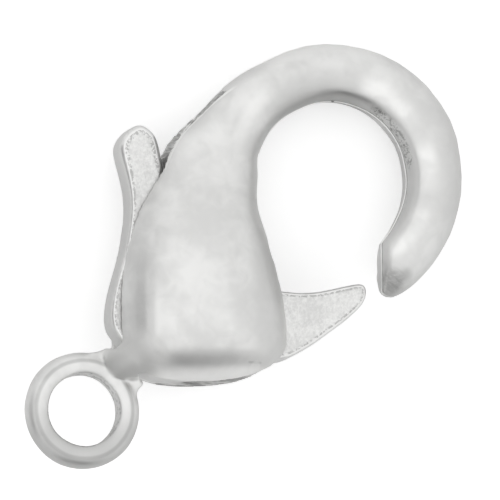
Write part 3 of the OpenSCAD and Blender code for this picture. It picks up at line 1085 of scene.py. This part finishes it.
def side_card(name, centre, way, glow):
    """A grey card at the side, seen only in the metal's reflections."""
    place = centre + Vector((way.x, way.y, 0)).normalized() * CARD_AWAY + Vector((0, 0, CARD_RISE))
    bpy.ops.mesh.primitive_grid_add(x_subdivisions=4, y_subdivisions=4, size=1.0, location=place)
    card = bpy.context.active_object
    card.name = name
    card.scale = (*CARD_SIZE, 1.0)
    card.rotation_euler = (centre - place).to_track_quat("Z", "Y").to_euler()
    settle(card)
    material, shader = new_material(name)
    shader.inputs["Base Color"].default_value = (0, 0, 0, 1)
    shader.inputs["Emission Color"].default_value = (glow, glow, glow, 1)
    shader.inputs["Emission Strength"].default_value = 1.0
    card.data.materials.append(material)
    card.visible_camera = card.visible_diffuse = card.visible_shadow = False


def pale_floor(settings, centre, level):
    """The wide floor under the clasp, lifted to paper white where the camera sees it."""
    bpy.ops.mesh.primitive_grid_add(
        x_subdivisions=8, y_subdivisions=8, size=FLOOR_SIZE, location=(centre.x, centre.y, level))
    floor = bpy.context.active_object
    floor.name = "floor"
    settle(floor)
    material, shader = new_material("pale_floor")
    shader.inputs["Base Color"].default_value = (*settings.floor_colour, 1.0)
    shader.inputs["Roughness"].default_value = 0.8
    shader.inputs["Emission Color"].default_value = (1, 1, 1, 1)
    nodes = Nodes(material.node_tree)
    seen = nodes.add("LightPath").outputs["Is Camera Ray"]
    nodes.feed(shader, "Emission Strength", nodes.math("MULTIPLY", seen, settings.floor_glow))
    floor.data.materials.append(material)


def studio_lights(settings, centre, towards):
    """Even light from all round, soft boxes between clasp and camera, and the cards at the sides."""
    world = bpy.data.worlds.new("studio")
    world.use_nodes = True
    background = world.node_tree.nodes["Background"]
    background.inputs["Color"].default_value = (1, 1, 1, 1)
    background.inputs["Strength"].default_value = settings.ambient
    bpy.context.scene.world = world
    for size in OVERHEAD_SIZES:
        soft_box(centre + towards * OVERHEAD_AWAY, centre, size, settings.overhead)
    for name, angle, glow in SIDE_CARDS:
        side_card(name, centre, laid_way(math.radians(angle)), glow)


def photo_axes(towards):
    """Right and up in the photograph, square to the line of sight."""
    across = towards.cross(ACROSS).normalized()
    swing = Quaternion(across, -towards.angle(ACROSS))
    return swing @ RIGHT, swing @ UP


def photo_camera(settings, towards):
    """The camera that looks at the clasp as the photograph does."""
    distance = settings.frame_width * settings.lens / SENSOR
    target = laid(*settings.aim) / MM
    bpy.ops.object.camera_add(location=target + towards * distance)
    camera = bpy.context.active_object
    camera.name = "camera"
    camera.data.sensor_width = SENSOR
    camera.data.lens = settings.lens
    camera.data.clip_start = settings.frame_width * NEAR_LIMIT
    camera.data.clip_end = distance * FAR_LIMIT
    photo_right, photo_up = photo_axes(towards)
    camera.rotation_mode = "QUATERNION"
    camera.rotation_quaternion = Matrix((photo_right, photo_up, towards)).transposed().to_quaternion()
    bpy.context.scene.camera = camera


class CLASP_OT_stage(bpy.types.Operator):
    """Set the floor, the lights and the camera"""

    bl_idname = "clasp.stage"
    bl_label = "Stage"

    def execute(self, context):
        settings = context.scene.clasp_stage
        low, high = (Vector(corner) for corner in cad_box)
        centre = (low + high) / 2
        tilt_way = laid_way(settings.view_tilt_way)
        towards = ACROSS * math.cos(settings.view_tilt) + tilt_way * math.sin(settings.view_tilt)
        pale_floor(settings, centre, low.z)
        studio_lights(settings, centre, towards)
        photo_camera(settings, towards)
        context.scene.view_settings.view_transform = "Standard"
        return {"FINISHED"}


SETTINGS = {"clasp_casting": CastingSettings, "clasp_lever": LeverSettings, "clasp_stage": StageSettings}
OPERATORS = (CLASP_OT_stage, CLASP_OT_casting, CLASP_OT_lever, CLASP_OT_spring, CLASP_OT_pin)


class CLASP_PT_panel(bpy.types.Panel):
    """Lists the settings and the pieces in the sidebar"""

    bl_label = "Lobster Clasp"
    bl_idname = "CLASP_PT_panel"
    bl_space_type = "VIEW_3D"
    bl_region_type = "UI"
    bl_category = "Clasp"

    def draw(self, context):
        for name, group in SETTINGS.items():
            box = self.layout.box()
            for setting in group.__annotations__:
                box.prop(getattr(context.scene, name), setting)
        for operator in OPERATORS:
            self.layout.operator(operator.bl_idname)


def register():
    for name, group in SETTINGS.items():
        bpy.utils.register_class(group)
        setattr(bpy.types.Scene, name, bpy.props.PointerProperty(type=group))
    for entry in (*OPERATORS, CLASP_PT_panel):
        bpy.utils.register_class(entry)


def unregister():
    for entry in (CLASP_PT_panel, *reversed(OPERATORS)):
        bpy.utils.unregister_class(entry)
    for name, group in SETTINGS.items():
        delattr(bpy.types.Scene, name)
        bpy.utils.unregister_class(group)


def main():
    """Build the stage and the pieces."""
    register()
    bpy.ops.clasp.stage()
    bpy.ops.clasp.casting()
    bpy.ops.clasp.lever()
    bpy.ops.clasp.spring()
    bpy.ops.clasp.pin()


if __name__ == "__main__":
    main()
